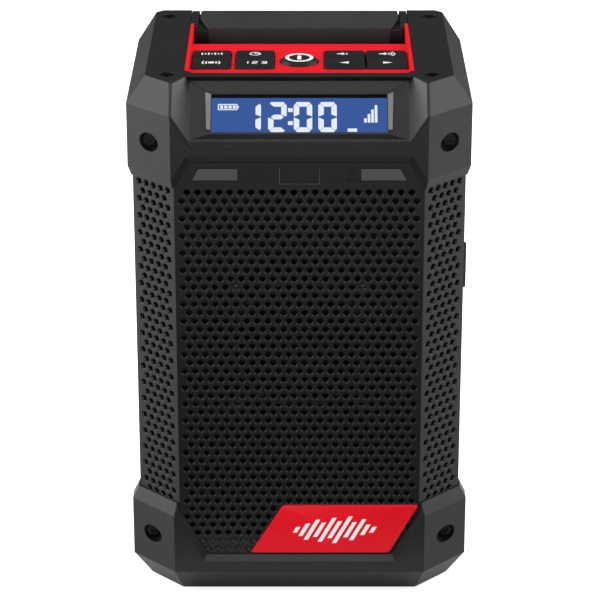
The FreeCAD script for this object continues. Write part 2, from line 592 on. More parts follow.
    def spin(self, outlines, height):
        """Turns (distance from the front face, radius) outlines about a level axis at that height."""
        sk = self.sketch("YZ", outlines, "0", shift=("-depth / 2", height))
        feature = self.body.newObject("PartDesign::Revolution", f"{self.body.Label}_spin_{self.count}")
        feature.Profile = sk
        feature.ReferenceAxis = (sk, ["H_Axis"])
        feature.Angle = 360
        return feature


FINAL = {}


def cylinder(name, radius, length, place, direction):
    """A loose cylinder from place along direction."""
    obj = doc.addObject("Part::Cylinder", name)
    bind(obj, "Radius", radius)
    bind(obj, "Height", length)
    obj.Placement = FreeCAD.Placement(
        FreeCAD.Vector(), FreeCAD.Rotation(FreeCAD.Vector(0, 0, 1), FreeCAD.Vector(*direction)))
    for axis, text in zip("xyz", place):
        bind(obj, f".Placement.Base.{axis}", text)
    return obj


def block(name, low, high):
    """A box between two corners."""
    obj = doc.addObject("Part::Box", name)
    for prop, axis, a, b in zip(("Length", "Width", "Height"), "xyz", low, high):
        bind(obj, prop, f"({b}) - ({a})")
        bind(obj, f".Placement.Base.{axis}", a)
    return obj


def subtract(label, base, tool):
    """The finished piece: base without tool."""
    obj = doc.addObject("Part::Cut", label)
    obj.Label = label
    obj.Base, obj.Tool = base, tool
    FINAL[label] = obj
    return obj


def join(label, parts, final=False):
    obj = doc.addObject("Part::MultiFuse", label)
    obj.Shapes = parts
    if final:
        obj.Label = label
        FINAL[label] = obj
    return obj


def group(label, parts):
    """Identical pieces kept as one node of separate solids."""
    obj = doc.addObject("Part::Compound", label)
    obj.Label = label
    obj.Links = parts
    FINAL[label] = obj
    return obj


FRONT = "(-depth / 2)"
FACE = "(-depth / 2 + body_recess)"
BACK = "(depth / 2)"
BODY_BACK = "(depth / 2 - body_recess)"
BODY_SIDE = "(body_width / 2)"
PANEL_TOP = "(frame_top - panel_drop)"
PANEL_LOW = "(frame_top - panel_drop - panel_thick)"
KEY_LOW = "(frame_top - panel_drop - key_under)"
BOARD_TOP = "(frame_top - panel_drop - key_under - key_travel - press_room - membrane_thick)"
HANDLE_LOW = "(frame_top - handle_height)"
HINGE_X = "(body_width / 2 + hinge_out)"
HINGE_Y = "(port_place - port_length / 2 - hinge_before)"

# Share of a bevel by which its two sketches stand beyond the faces it joins
BEYOND = 0.25
SIDES = ("-", "")


def from_front(distance):
    """A place along Y, measured back from the front face."""
    return f"({distance} - depth / 2)"


def dip(half, floor, top, slope, grow):
    """Opening between two slanted edges: a trapezoid widened by grow."""
    g = f"({grow})"
    spread = f"sqrt(1 + {slope} ^ 2)"
    low_half = f"({half} + ({spread} - {slope}) * {g})"
    high_half = f"({half} + {slope} * ({top} - {floor}) + {spread} * {g})"
    return [(f"-{low_half}", f"{floor} - {g}"), (low_half, f"{floor} - {g}"), (high_half, top),
            (f"-{high_half}", top)]


def cut_dip(piece, plane, half, outer, inner):
    """Bevelled opening of the guard from the outer face to the inner one along the plane's axis."""
    top = "(guard_top + 2 * past)"
    wide = dip(half, "dip_floor", top, "dip_slope", f"dip_bevel * (1 + {BEYOND})")
    narrow = dip(half, "dip_floor", top, "dip_slope", f"0 - dip_bevel * {BEYOND}")
    piece.loft("Subtractive", [piece.sketch(plane, [wide], outer), piece.sketch(plane, [narrow], inner)])


def corner_screw_seat(p, half, across, height):
    """Boss, well and hole of one pair of corner screws, flush with the cut corner."""
    boss = Circle(across, height, "screw_boss")
    p.pad("XZ", [boss, mirrored(boss)], from_front("boss_front"), from_front("boss_end"))
    corner = [
        (f"{half} - front_cut - 2 * past", f"{FRONT} - 2 * past"),
        (f"{half} + 2 * past", f"{FRONT} - 2 * past"),
        (f"{half} + 2 * past", f"{FRONT} + front_cut + 2 * past"),
    ]
    p.cut("XY", [corner, mirrored(corner)], f"{height} - screw_boss - lap", f"{height} + screw_boss + lap")
    well = Circle(across, height, "screw_well")
    p.cut("XZ", [well, mirrored(well)], FRONT, from_front("screw_seat"))
    hole = Circle(across, height, "screw_shank + fit_gap")
    p.cut("XZ", [hole, mirrored(hole)], FRONT, from_front("boss_end + past"))


def foot_outlines(grow):
    """The four feet seen from above."""
    wide = f"(foot_length / 2 + {grow})"
    deep = f"(foot_width / 2 + {grow})"
    return [rectangle(f"{sx}foot_x - {wide}", f"{sy}foot_y - {deep}", f"{sx}foot_x + {wide}",
                      f"{sy}foot_y + {deep}")
            for sx in SIDES for sy in SIDES]


def make_lower_guard():
    p = Piece("lower_guard")
    a = p.sketch("XY", [guard_outline("-base_bevel")], "foot_rise")
    b = p.sketch("XY", [guard_outline()], "base_bevel_top")
    p.loft("Additive", [a, b])
    p.pad("XY", [guard_outline()], "base_bevel_top", "guard_shoulder")
    c = p.sketch("XY", [guard_outline()], "guard_shoulder")
    d = p.sketch("XY", [body_outline("rim")], "guard_top")
    p.loft("Additive", [c, d])
    p.cut("XY", [body_outline("fit_gap")], "base_bevel_top", "guard_top + past")
    p.cut("XY", [body_outline("fit_gap - base_bevel")], "foot_rise + guard_floor", "base_bevel_top + lap")
    side_step = "((guard_width - body_width) / 2)"
    for sign in SIDES:
        outer = f"{sign}(depth / 2 + body_recess * {BEYOND})"
        inner = f"{sign}(depth / 2 - body_recess * (1 + {BEYOND}))"
        cut_dip(p, "XZ", "dip_half", outer, inner)
    for sign in SIDES:
        outer = f"{sign}(guard_width / 2 + {side_step} * {BEYOND})"
        inner = f"{sign}(guard_width / 2 - {side_step} * (1 + {BEYOND}))"
        cut_dip(p, "YZ", "side_dip_half", outer, inner)
    corner_screw_seat(p, "guard_width / 2", "guard_screw_x", "guard_screw_z")
    drain = rectangle("-floor_hole", "-floor_hole", "floor_hole", "floor_hole")
    p.cut("XY", [drain], "foot_rise - past", "foot_rise + guard_floor + past")
    p.cut("XY", foot_outlines("fit_gap"), "foot_rise - past", "foot_rise + foot_sink")


def make_feet():
    feet = []
    for sx in SIDES:
        for sy in SIDES:
            low = (f"{sx}foot_x - foot_length / 2", f"{sy}foot_y - foot_width / 2", "0")
            high = (f"{sx}foot_x + foot_length / 2", f"{sy}foot_y + foot_width / 2",
                    "foot_rise + foot_sink")
            feet.append(block(f"foot_{len(feet)}", low, high))
    group("rubber_feet", feet)


def rail_circles(radius):
    """The four rail screws seen from above."""
    front = Circle("rail_screw_x_front", from_front("rail_screw_front"), radius)
    rear = Circle("rail_screw_x_rear", from_front("rail_screw_rear"), radius)
    return [front, mirrored(front), rear, mirrored(rear)]


def cut_display_trough(p):
    """Slanted bed of the display bezel, and the room for the screen below it."""
    slant = "(wing_run / wing_rise)"
    foot = "(display_half + bezel_side + seam_gap)"
    low_half = f"({foot} - {slant} * bezel_floor)"
    high_half = f"({foot} + {slant} * (wing_rise + past))"
    trough = [(f"-{low_half}", "-bezel_floor"), (low_half, "-bezel_floor"),
              (high_half, "wing_rise + past"), (f"-{high_half}", "wing_rise + past")]
    p.trough_cut([trough], "-frame_bevel", "display_end")
    room = rectangle("-trough_half", "-trough_under", "trough_half", "screw_clear - bezel_floor")
    p.trough_cut([room], "trough_start", "display_end - past")


def cut_apron(p):
    """Slanted opening under the frame's front, above the grille."""
    bottom = "(frame_low - 2 * past)"
    edge = f"(apron_half + apron_slope * (apron_low - {bottom}))"
    spread = "sqrt(1 + apron_slope ^ 2)"

    def outline(grow):
        g = f"({grow})"
        low_half = f"({edge} + {spread} * {g})"
        high_half = f"(apron_half + ({spread} - apron_slope) * {g})"
        return [(f"-{low_half}", bottom), (low_half, bottom), (high_half, f"apron_low + {g}"),
                (f"-{high_half}", f"apron_low + {g}")]

    wide = p.sketch("XZ", [outline(f"apron_bevel * (1 + {BEYOND})")],
                    f"-(depth / 2 + body_recess * {BEYOND})")
    narrow = p.sketch("XZ", [outline(f"0 - apron_bevel * {BEYOND}")],
                      f"-(depth / 2 - body_recess * (1 + {BEYOND}))")
    p.loft("Subtractive", [wide, narrow])


def make_upper_frame():
    p = Piece("upper_frame")
    a = p.sketch("XY", [body_outline("rim")], "frame_low")
    b = p.sketch("XY", [frame_outline()], "frame_bevel_top")
    p.loft("Additive", [a, b])
    p.pad("XY", [frame_outline()], "frame_bevel_top", "frame_shoulder")
    c = p.sketch("XY", [frame_outline()], "frame_shoulder")
    d = p.sketch("XY", [top_outline()], "frame_top")
    p.loft("Additive", [c, d])
    p.cut("XY", [body_outline("fit_gap")], "frame_low - past", "roof_under")
    deck = [
        ("-(deck_half - deck_corner)", from_front("deck_front")),
        ("deck_half - deck_corner", from_front("deck_front")),
        ("deck_half", from_front("deck_front + deck_corner")),
        ("deck_half", f"{BACK} + past"),
        ("-deck_half", f"{BACK} + past"),
        ("-deck_half", from_front("deck_front + deck_corner")),
    ]
    p.cut("XY", [deck], PANEL_LOW, "frame_top + past")
    inner = rectangle("-(deck_half - ledge)", from_front("deck_front + seam_gap + screw_clear"),
                      "deck_half - ledge",
                      f"{BODY_BACK} - 2 * past")
    p.cut("XY", [inner], "roof_under - past", f"{PANEL_LOW} + lap")
    hand = rectangle("-deck_half", from_front("panel_rear"), "deck_half", f"{BACK} + past")
    p.cut("XY", [hand], "hand_floor", "frame_top + past")
    cut_display_trough(p)
    cut_apron(p)
    corner_screw_seat(p, "frame_width / 2", "frame_screw_x", "frame_screw_z")
    hollow = rectangle("deck_half + rail_skin", from_front("rail_hollow_front"), "rail_hollow_out",
                       from_front("rail_hollow_rear"))
    p.cut("XY", [hollow, mirrored(hollow)], "roof_under - past", "frame_top - rail_skin")
    socket = rectangle("deck_half - past", from_front("tongue_front - seam_gap"), "tongue_out + seam_gap",
                       from_front("tongue_rear + seam_gap"))
    p.cut("XY", [socket, mirrored(socket)], "roof_under - past", "roof_under + tongue_tall + fit_gap")
    p.cut("XY", rail_circles("rail_screw_head + seam_gap"), "frame_top - rail_seat", "frame_top + past")
    p.cut("XY", rail_circles("rail_shank + rail_clear"), "roof_under - past", "frame_top")


def screw(name, place, direction, head, tall, shank, length):
    """A pan-head screw: place is the centre of its seat, direction points along the shank."""
    start = [f"({p}) - ({d} * ({tall}))" for p, d in zip(place, direction)]
    top = cylinder(f"{name}_head", head, tall, start, direction)
    rod = cylinder(f"{name}_shank", shank, length, place, direction)
    return join(name, [top, rod])


def make_screws():
    corner = []
    rail = []
    for sx in SIDES:
        for across, height in (("frame_screw_x", "frame_screw_z"), ("guard_screw_x", "guard_screw_z")):
            place = (f"{sx}{across}", from_front("screw_seat"), height)
            corner.append(screw(f"corner_screw_{len(corner)}", place, (0, 1, 0), "screw_head",
                                "screw_head_tall",
                                "screw_shank", "screw_length"))
        for across, back in (("rail_screw_x_front", "rail_screw_front"),
                             ("rail_screw_x_rear", "rail_screw_rear")):
            place = (f"{sx}{across}", from_front(back), "frame_top - rail_seat")
            rail.append(screw(f"rail_screw_{len(rail)}", place, (0, 0, -1), "rail_screw_head",
                              "rail_head_tall",
                              "rail_shank", "rail_screw_length"))
    group("corner_screws", corner)
    group("rail_screws", rail)


def rear_outline(inset):
    """Plan of the housing behind the grille, drawn inset from its faces."""
    half = f"({BODY_SIDE} - {inset})"
    back = f"({BODY_BACK} - {inset})"
    cut = f"(body_rear_cut - (2 - sqrt(2)) * {inset})"
    front = from_front(f"(shell_seam + {inset})")
    return [(f"-{half}", front), (half, front), (half, f"{back} - {cut}"), (f"{half} - {cut}", back),
            (f"-({half} - {cut})", back), (f"-{half}", f"{back} - {cut}")]


def main_stands(radius):
    """The four stands of the main board seen from above."""
    return [Circle(f"{sx}stand_x", from_front(place), radius) for sx in SIDES
            for place in ("stand_front", "stand_rear")]


def centred(width, height):
    """A rectangle about the battery bay's axis, seen from the front."""
    return rectangle(f"-({width}) / 2", f"bay_middle - ({height}) / 2", f"({width}) / 2",
                     f"bay_middle + ({height}) / 2")


def bay_screw_circles(radius):
    across = "(bay_width / 2 + bay_flange / 2 - fit_gap)"
    rise = "(bay_height / 2 - bay_screw_drop)"
    return [Circle(f"{sx}{across}", f"bay_middle {sz} {rise}", radius) for sx in SIDES for sz in ("-", "+")]


def cut_rear_openings(p):
    """Openings of the housing's back wall for battery bay, radiator and power inlet."""
    inside = f"{BODY_BACK} - wall - past"
    sunk = f"{BODY_BACK} - flange_sunk"
    outside = f"{BODY_BACK} + past"
    p.cut("XZ", [centred("bay_width + 2 * fit_gap", "bay_height + 2 * fit_gap")], inside, outside)
    border = centred("bay_width + 2 * (bay_flange + fit_gap)", "bay_height + 2 * (bay_flange + fit_gap)")
    p.cut("XZ", [border], sunk, outside)
    p.cut("XZ", bay_screw_circles("small_shank + screw_clear"), inside, outside)
    p.cut("XZ", [Circle("0", "radiator_height", "radiator_radius")], inside, outside)
    p.cut("XZ", [Circle("0", "radiator_height", "rear_grille_radius + fit_gap")], sunk, outside)
    p.cut("XZ", [Circle("inlet_place", "inlet_height", "inlet_body + inlet_clear")], inside, outside)


def add_port_hinge(p):
    """Opening of the side port, and the two lugs of its door's hinge."""
    reach = "(port_length / 2 - port_margin)"
    rise = "(port_rise / 2 - port_margin)"
    hole = rectangle(f"port_place - {reach}", f"port_height - {rise}", f"port_place + {reach}",
                     f"port_height + {rise}")
    p.cut("YZ", [hole], f"{BODY_SIDE} - wall - past", f"{BODY_SIDE} + past")
    low, high = "(port_height - port_rise / 2)", "(port_height + port_rise / 2)"
    for start, end in ((low, f"{low} + lug_tall"), (f"{high} - lug_tall", high)):
        lug = rectangle(f"{BODY_SIDE} - past", f"{HINGE_Y} - lug_radius", HINGE_X,
                        f"{HINGE_Y} + lug_radius")
        p.pad("XY", [lug], start, end)
        p.pad("XY", [Circle(HINGE_X, HINGE_Y, "lug_radius")], start, end)
    p.cut("XY", [Circle(HINGE_X, HINGE_Y, "pin_radius + pin_clear / 2")], f"{low} - past", f"{high} + past")


def make_housing():
    p = Piece("housing")
    p.pad("XY", [body_outline("-sleeve_gap")], "housing_low", "housing_top")
    p.pad("XY", [rear_outline("0")], "housing_low", "housing_top")
    for low, high in (("housing_low + wall", "partition - floor_plate"),
                      ("partition", "housing_top + past")):
        p.cut("XY", [body_outline("-sleeve_gap - sleeve_wall")], low, high)
        p.cut("XY", [rear_outline("wall")], low, high)
    front = rectangle("-body_width", f"{FRONT} - past", "body_width", from_front("baffle_back"))
    p.cut("XY", [front], "housing_low - past", "housing_top + past")
    room = "(screw_boss + seam_gap + screw_clear)"
    for across, height in (("frame_screw_x", "frame_screw_z"), ("guard_screw_x", "guard_screw_z")):
        notch = rectangle(f"{across} - {room}", f"{height} - {room}", "body_width", f"{height} + {room}")
        p.cut("XZ", [notch, mirrored(notch)], FRONT, from_front("boss_end + seam_gap"))
        boss = Circle(across, height, "screw_boss")
        p.pad("XZ", [boss, mirrored(boss)], from_front("boss_end + seam_gap"), from_front("boss_rear"))
        hole = Circle(across, height, "screw_shank + screw_clear")
        p.cut("XZ", [hole, mirrored(hole)], FRONT, from_front("boss_rear - boss_blind"))
    p.pad("XY", rail_circles("post_top_radius"), "partition - past", "roof_under")
    p.cut("XY", rail_circles("rail_shank + screw_clear"), "roof_under - rail_thread", "roof_under + past")
    hand = rectangle("-(deck_half + well_thick + 2 * fit_gap)", from_front("well_front - past"),
                     "deck_half + well_thick + 2 * fit_gap", f"{BACK} + past")
    p.cut("XY", [hand], "hand_floor - well_thick", "housing_top + past")
    cut_rear_openings(p)
    p.pad("XY", main_stands("stand_radius"), "partition - past", "board_low")
    p.cut("XY", main_stands("small_shank + screw_clear"), "partition + fit_gap", "board_low + past")
    add_port_hinge(p)


def lens_outline(grow):
    g = f"({grow})"
    return [
        (f"-lens_outer - {g}", f"lens_low - {g}"), (f"-lens_inner + {g}", f"lens_low - {g}"),
        (f"-lens_inner + {g}", f"lens_low + lens_tall + {g}"),
        (f"-lens_outer + lens_slant - {g}", f"lens_low + lens_tall + {g}"),
    ]


def hole_field():
    """Drills for the staggered round field of holes before the speaker."""
    row_pitch = "hole_pitch * sqrt(3) / 2"
    reach = value("open_radius")
    rows = range(int((value("hole_first") - value("speaker_height") + reach) / value(row_pitch)) + 1)
    columns = range(-int(reach / value("hole_pitch")) - 1, int(reach / value("hole_pitch")) + 1)
    drills = []
    for row in rows:
        height = f"hole_first - {row} * {row_pitch}"
        for column in columns:
            steps = column + (1 - row % 2) / 2
            if math.hypot(steps * value("hole_pitch"), value(f"{height} - speaker_height")) > reach:
                continue
            place = (f"{steps} * hole_pitch", f"{FACE} - past", height)
            drills.append(cylinder(f"hole_{len(drills)}", "hole_radius", "grille_thick + 2 * past", place,
                                   (0, 1, 0)))
    field = doc.addObject("Part::Compound", "hole_field")
    field.Links = drills
    return field


def make_grille():
    p = Piece("grille_shell", final=False)
    p.pad("XY", [body_outline()], "grille_low", "grille_top")
    p.cut("XY", [body_outline("-grille_thick")], "grille_low - past", "grille_top + past")
    rear = rectangle("-body_width", from_front("shell_seam - seam_gap"), "body_width", f"{BACK} + past")
    p.cut("XY", [rear], "grille_low - past", "grille_top + past")
    room = "(screw_boss + seam_gap + screw_clear)"
    notch = rectangle(f"guard_screw_x - {room}", "grille_low - past", "body_width",
                      f"guard_screw_z + {room}")
    p.cut("XZ", [notch, mirrored(notch)], FRONT, from_front("shell_seam + past"))
    lens = lens_outline("fit_gap")
    p.cut("XZ", [lens, mirrored(lens)], FRONT, f"{FACE} + grille_thick + past")
    plate = rectangle("-plate_half", "plate_low", "plate_half", "plate_low + plate_tall")
    marks = rectangle("mark_inner", "plate_low + mark_trim", "mark_outer",
                      "plate_low + plate_tall - mark_trim")
    p.cut("XZ", [plate, marks, mirrored(marks)], FRONT, f"{FACE} + plate_deep")
    subtract("front_grille", p.body, hole_field())


def make_indicators():
    for label, outline in (("indicator_lens_left", lens_outline("0")),
                           ("indicator_lens_right", mirrored(lens_outline("0")))):
        Piece(label).pad("XZ", [outline], FACE, from_front("lens_back"))
    board = Piece("indicator_board")
    reach = "(lens_outer + lens_slant / 2)"
    board.pad("XZ", [rectangle(f"-{reach}", "indicator_low", reach, "indicator_low + indicator_tall")],
              from_front("lens_back"), from_front("lens_back + board_thick"))


def make_badge():
    p = Piece("badge_plate")
    outline = [
        ("-badge_left_low", "badge_low"), ("badge_right_low", "badge_low"),
        ("badge_right_high", "badge_low + badge_tall"), ("-badge_left_high", "badge_low + badge_tall"),
    ]
    p.pad("XZ", [outline], f"{FACE} - badge_thick", FACE)


def speaker_circles(radius):
    d = "(screw_circle * sqrt(0.5))"
    return [Circle(f"{sx}{d}", f"speaker_height {sz} {d}", radius) for sx in SIDES for sz in ("-", "+")]


def roll(front, inner, outer, roll_in, roll_out):
    """Half roll of a surround that bulges to the front: (distance from the front, radius)."""
    back = f"{front} + surround_skin"
    steps = 6
    span = f"({roll_out} - {roll_in})"
    over = []
    under = []
    for k in range(1, steps):
        rise = f"roll_height * sin({180 * k / steps})"
        over.append((f"{front} - {rise}", f"{roll_in} + {span} * {k / steps}"))
        under.append((f"{back} - {rise}",
                      f"{roll_in} + surround_skin / 2 + ({span} - surround_skin) * {k / steps}"))
    outline = [(front, inner), (front, roll_in)] + over + [(front, roll_out), (front, outer), (back, outer)]
    outline += [(back, f"{roll_out} - surround_skin / 2")] + under[::-1]
    return outline + [(back, f"{roll_in} + surround_skin / 2"), (back, inner)]


def make_baffle():
    p = Piece("speaker_baffle")
    front, back = from_front("baffle_front"), from_front("baffle_back")
    near, far = f"({BODY_SIDE} - baffle_inset)", f"({BODY_SIDE} - baffle_rear_inset)"
    plan = [(f"-{near}", front), (near, front), (far, back), (f"-{far}", back)]
    p.pad("XY", [plan], "housing_low + seam_gap", "partition")
    holes = [Circle("0", "speaker_height", "speaker_hole")] + speaker_circles("small_shank + screw_clear")
    p.cut("XZ", holes, from_front("baffle_front - past"), from_front("baffle_back + past"))


def make_speaker():
    f = Piece("speaker_frame")
    flange = "(baffle_front - flange_thick)"
    f.spin([[
        (flange, "mouth_radius"), (flange, "flange_radius"), ("baffle_front", "flange_radius"),
        ("baffle_front", "basket_seat"), ("basket_shoulder", "basket_bend"), ("basket_rear", "basket_neck"),
        ("basket_rear", "gap_radius"), ("basket_rear - basket_skin", "gap_radius"),
        ("basket_rear - basket_skin", "basket_neck - basket_skin"),
        ("basket_shoulder - basket_skin / 2", "basket_bend - basket_skin"),
        (f"{flange} + 2 * past", "mouth_radius"),
    ]], "speaker_height")
    f.cut("XZ", speaker_circles("small_shank + screw_clear"), from_front(f"{flange} - past"),
          from_front("baffle_front + past"))
    magnet_end = "(basket_rear + magnet_length)"
    m = Piece("speaker_magnet")
    m.spin([rectangle("basket_rear", "gap_radius", magnet_end, "magnet_radius")], "speaker_height")
    y = Piece("speaker_pole")
    y.spin([[("basket_rear - past", "0"), ("basket_rear - past", "pole_radius"),
             (magnet_end, "pole_radius"),
             (magnet_end, "magnet_radius"), (f"{magnet_end} + pole_plate", "magnet_radius"),
             (f"{magnet_end} + pole_plate", "0")]], "speaker_height")
    c = Piece("speaker_cone")
    c.spin([[("cone_lip", "cone_radius - past"), ("cone_lip", "cone_radius"),
             ("cone_lip + cone_skin", "cone_radius"),
             ("cone_lip + cone_depth", "coil_radius"), ("coil_end", "coil_radius"),
             ("coil_end", "coil_former"),
             ("cone_lip + cone_depth - 2 * cone_skin", "coil_former")]], "speaker_height")
    d = Piece("speaker_dust_cap")
    rise = "(cone_lip + cone_depth - 2 * cone_skin - cap_front - cap_skin / 3)"
    steps = 3
    front = [(f"cap_front + {rise} * (1 - cos({90 * k / steps}))",
              f"(coil_former - screw_clear) * sin({90 * k / steps})")
             for k in range(steps + 1)]
    behind = [(f"{a} + cap_skin", f"({b}) * (1 - {k} / 100)") for k, (a, b) in enumerate(front)]
    d.spin([front + behind[::-1]], "speaker_height")
    s = Piece("speaker_surround")
    s.spin([roll("surround_front", "cone_radius + seam_gap", "surround_outer", "roll_inner", "roll_outer")],
           "speaker_height")
    w = Piece("speaker_spider")
    end = "(spider_place + spider_skin)"
    w.spin([[("spider_place", "spider_hole"), ("spider_place", "basket_neck"),
             (end, "basket_neck - spider_skin / 2"), (end, "spider_hole")]], "speaker_height")
    screws = []
    for hole in speaker_circles("small_shank"):
        place = (hole.across, from_front(flange), hole.up)
        screws.append(screw(f"speaker_screw_{len(screws)}", place, (0, 1, 0), "small_head",
                            "speaker_head_tall",
                            "small_shank", "speaker_screw_length"))
    group("speaker_screws", screws)


def make_radiator():
    start = "(depth - radiator_set)"
    frame = Piece("radiator_frame")
    frame.spin([rectangle(start, "radiator_radius + lap", f"{start} + radiator_ring_thick",
                          "radiator_ring")],
               "radiator_height")
    s = Piece("radiator_surround")
    s.spin([roll(f"{start} - surround_skin", "radiator_disc + seam_gap", "radiator_ring - 2 * fit_gap",
                 "radiator_roll_inner", "radiator_roll_outer")], "radiator_height")
    d = Piece("radiator_disc")
    face = f"({start} - 3 * surround_skin / 2)"
    d.spin([[(face, "0"), (face, "radiator_disc"), (f"{face} + disc_rim", "radiator_disc"),
             (f"{face} + disc_thick", "disc_step"), (f"{face} + disc_thick", "0")]], "radiator_height")


def make_rear_grille():
    shell = Piece("rear_grille_plate", final=False)
    inside = f"({BODY_BACK} - flange_sunk)"
    shell.pad("XZ", [Circle("0", "radiator_height", "rear_grille_radius")], inside,
              f"{inside} + rear_grille_thick")
    drills = []
    for ring in range(4):
        count = max(1, 6 * ring)
        for k in range(count):
            turn = 360 * k / count
            reach = f"{ring} * vent_pitch"
            place = (f"{reach} * cos({turn})", f"{inside} - past",
                     f"radiator_height + {reach} * sin({turn})")
            drills.append(cylinder(f"vent_{len(drills)}", "vent_radius", "rear_grille_thick + 2 * past",
                                   place, (0, 1, 0)))
    field = doc.addObject("Part::Compound", "vent_field")
    field.Links = drills
    subtract("rear_grille", shell.body, field)


BOARD_SCREWS = []


def board_screws(places, direction):
    """Adds small identical screws that hold a circuit board."""
    for place in places:
        name = f"board_screw_{len(BOARD_SCREWS)}"
        BOARD_SCREWS.append(screw(name, place, direction, "small_head", "board_head_tall", "small_shank",
                                  "board_screw_length"))


def resized(circles, radius):
    """The same circles with another radius."""
    return [Circle(c.across, c.up, radius) for c in circles]


BAY_END = f"({BODY_BACK} - bay_depth)"
BAY_MOUTH = f"({BODY_BACK} - shelf_depth)"
BAY_TOP = "(bay_middle + stem_height / 2 + bay_wall)"


def make_bay():
    p = Piece("battery_bay")
    seat = f"({BODY_BACK} - flange_sunk + flange_skin - small_shank / 2)"
    rim = f"({BODY_BACK} + flange_skin - fit_gap)"
    p.pad("XZ", [centred("bay_width", "bay_height")], f"{BAY_MOUTH} - bay_wall",
          f"{BODY_BACK} - flange_sunk")
    p.pad("XZ", [centred("stem_width + 2 * bay_wall", "stem_height + 2 * bay_wall")], BAY_END, BAY_MOUTH)
    border = centred("bay_width + 2 * bay_flange", "bay_height + 2 * bay_flange")
    p.pad("XZ", [border], f"{BODY_BACK} - flange_sunk", rim)
    p.cut("XZ", [centred("bay_width - 2 * bay_wall", "bay_height - 2 * bay_wall")], BAY_MOUTH,
          f"{rim} + past")
    p.cut("XZ", [centred("stem_width", "stem_height")], f"{BAY_END} + bay_wall", f"{BAY_MOUTH} + past")
    p.cut("XZ", bay_screw_circles("bay_screw_head + fit_gap"), seat, f"{rim} + past")
    p.cut("XZ", bay_screw_circles("small_shank + screw_clear"), f"{BODY_BACK} - 2 * past", f"{rim} + past")
    posts = [Circle(f"{sx}charger_post_x", from_front(place), "charger_posts")
             for sx in SIDES for place in ("charger_front", "charger_rear")]
    p.pad("XY", posts, f"{BAY_TOP} - past", f"{BAY_TOP} + charger_rise")
    p.cut("XY", resized(posts, "small_shank + screw_clear"), f"{BAY_TOP} + fit_gap",
          f"{BAY_TOP} + charger_rise + past")
    screws = []
    for hole in bay_screw_circles("small_shank"):
        place = (hole.across, seat, hole.up)
        screws.append(screw(f"bay_screw_{len(screws)}", place, (0, -1, 0), "bay_screw_head",
                            "bay_head_tall",
                            "small_shank", "bay_screw_length"))
    group("bay_screws", screws)
    make_charger(posts)


def make_charger(posts):
    """Terminal block in the bay, and the charger board above it."""
    t = Piece("terminal_block")
    foot = f"({BAY_END} + bay_wall)"
    face = f"({foot} + terminal_length)"
    t.pad("XZ", [centred("terminal_width", "terminal_height")], foot, face)
    blades = [rectangle(f"{k} * blade_pitch - blade_thick / 2", "bay_middle - blade_half",
                        f"{k} * blade_pitch + blade_thick / 2", "bay_middle + blade_half")
              for k in (-1.5, -0.5, 0.5, 1.5)]
    t.pad("XZ", blades, f"{face} - past", f"{face} + blade_length")
    c = Piece("charger_board")
    low = f"({BAY_TOP} + charger_rise)"
    top = f"({low} + board_thick)"
    plan = rectangle("-charger_half", from_front("charger_front - charger_border"), "charger_half",
                     from_front("charger_rear + charger_border"))
    c.pad("XY", [plan], low, top)
    c.cut("XY", resized(posts, "small_shank + fit_gap"), f"{low} - past", f"{top} + past")
    core = rectangle("-transformer_half", from_front("charger_front + transformer_inset"),
                     "transformer_half",
                     from_front("charger_rear - transformer_inset"))
    c.pad("XY", [core], f"{top} - fit_gap", f"{top} + transformer_tall")
    board_screws([(post.across, post.up, top) for post in posts], (0, 0, -1))


def make_inlet():
    p = Piece("dc_inlet")

    def round_at(radius):
        return [Circle("inlet_place", "inlet_height", radius)]

    p.pad("XZ", round_at("inlet_body"), f"{BODY_BACK} - inlet_length", f"{BODY_BACK} + lap")
    p.pad("XZ", round_at("inlet_collar"), f"{BODY_BACK} - wall - 2 * past", f"{BODY_BACK} - wall")
    p.cut("XZ", round_at("inlet_radius"), f"{BODY_BACK} - 3 * wall", f"{BODY_BACK} + past")
    p.pad("XZ", round_at("inlet_pin"), f"{BODY_BACK} - 3 * wall - past", f"{BODY_BACK} - past")


def slope_place(across, up, rise):
    """A place on the display slope, in the radio's own axes."""
    return (across, f"{FRONT} + ({up}) * cos(display_slope) - ({rise}) * sin(display_slope)",
            f"display_foot + ({up}) * sin(display_slope) + ({rise}) * cos(display_slope)")


def add_funnel(p):
    """Recess with sloping sides that narrows towards the screen."""
    side = "(display_half - bezel_land)"
    mouth = rectangle(f"-{side}", "bezel_land", side, "bezel_land + recess_length")
    half = "(screen_half + funnel_edge)"
    floor = rectangle(f"-{half}", "screen_start - funnel_edge", half,
                      "screen_start + screen_height + funnel_edge")
    a = p.sketch("XY", [mouth], shift=on_slope("film"), tilt="display_slope")
    b = p.sketch("XY", [floor], shift=on_slope("-recess_depth"), tilt="display_slope")
    p.loft("Subtractive", [a, b])


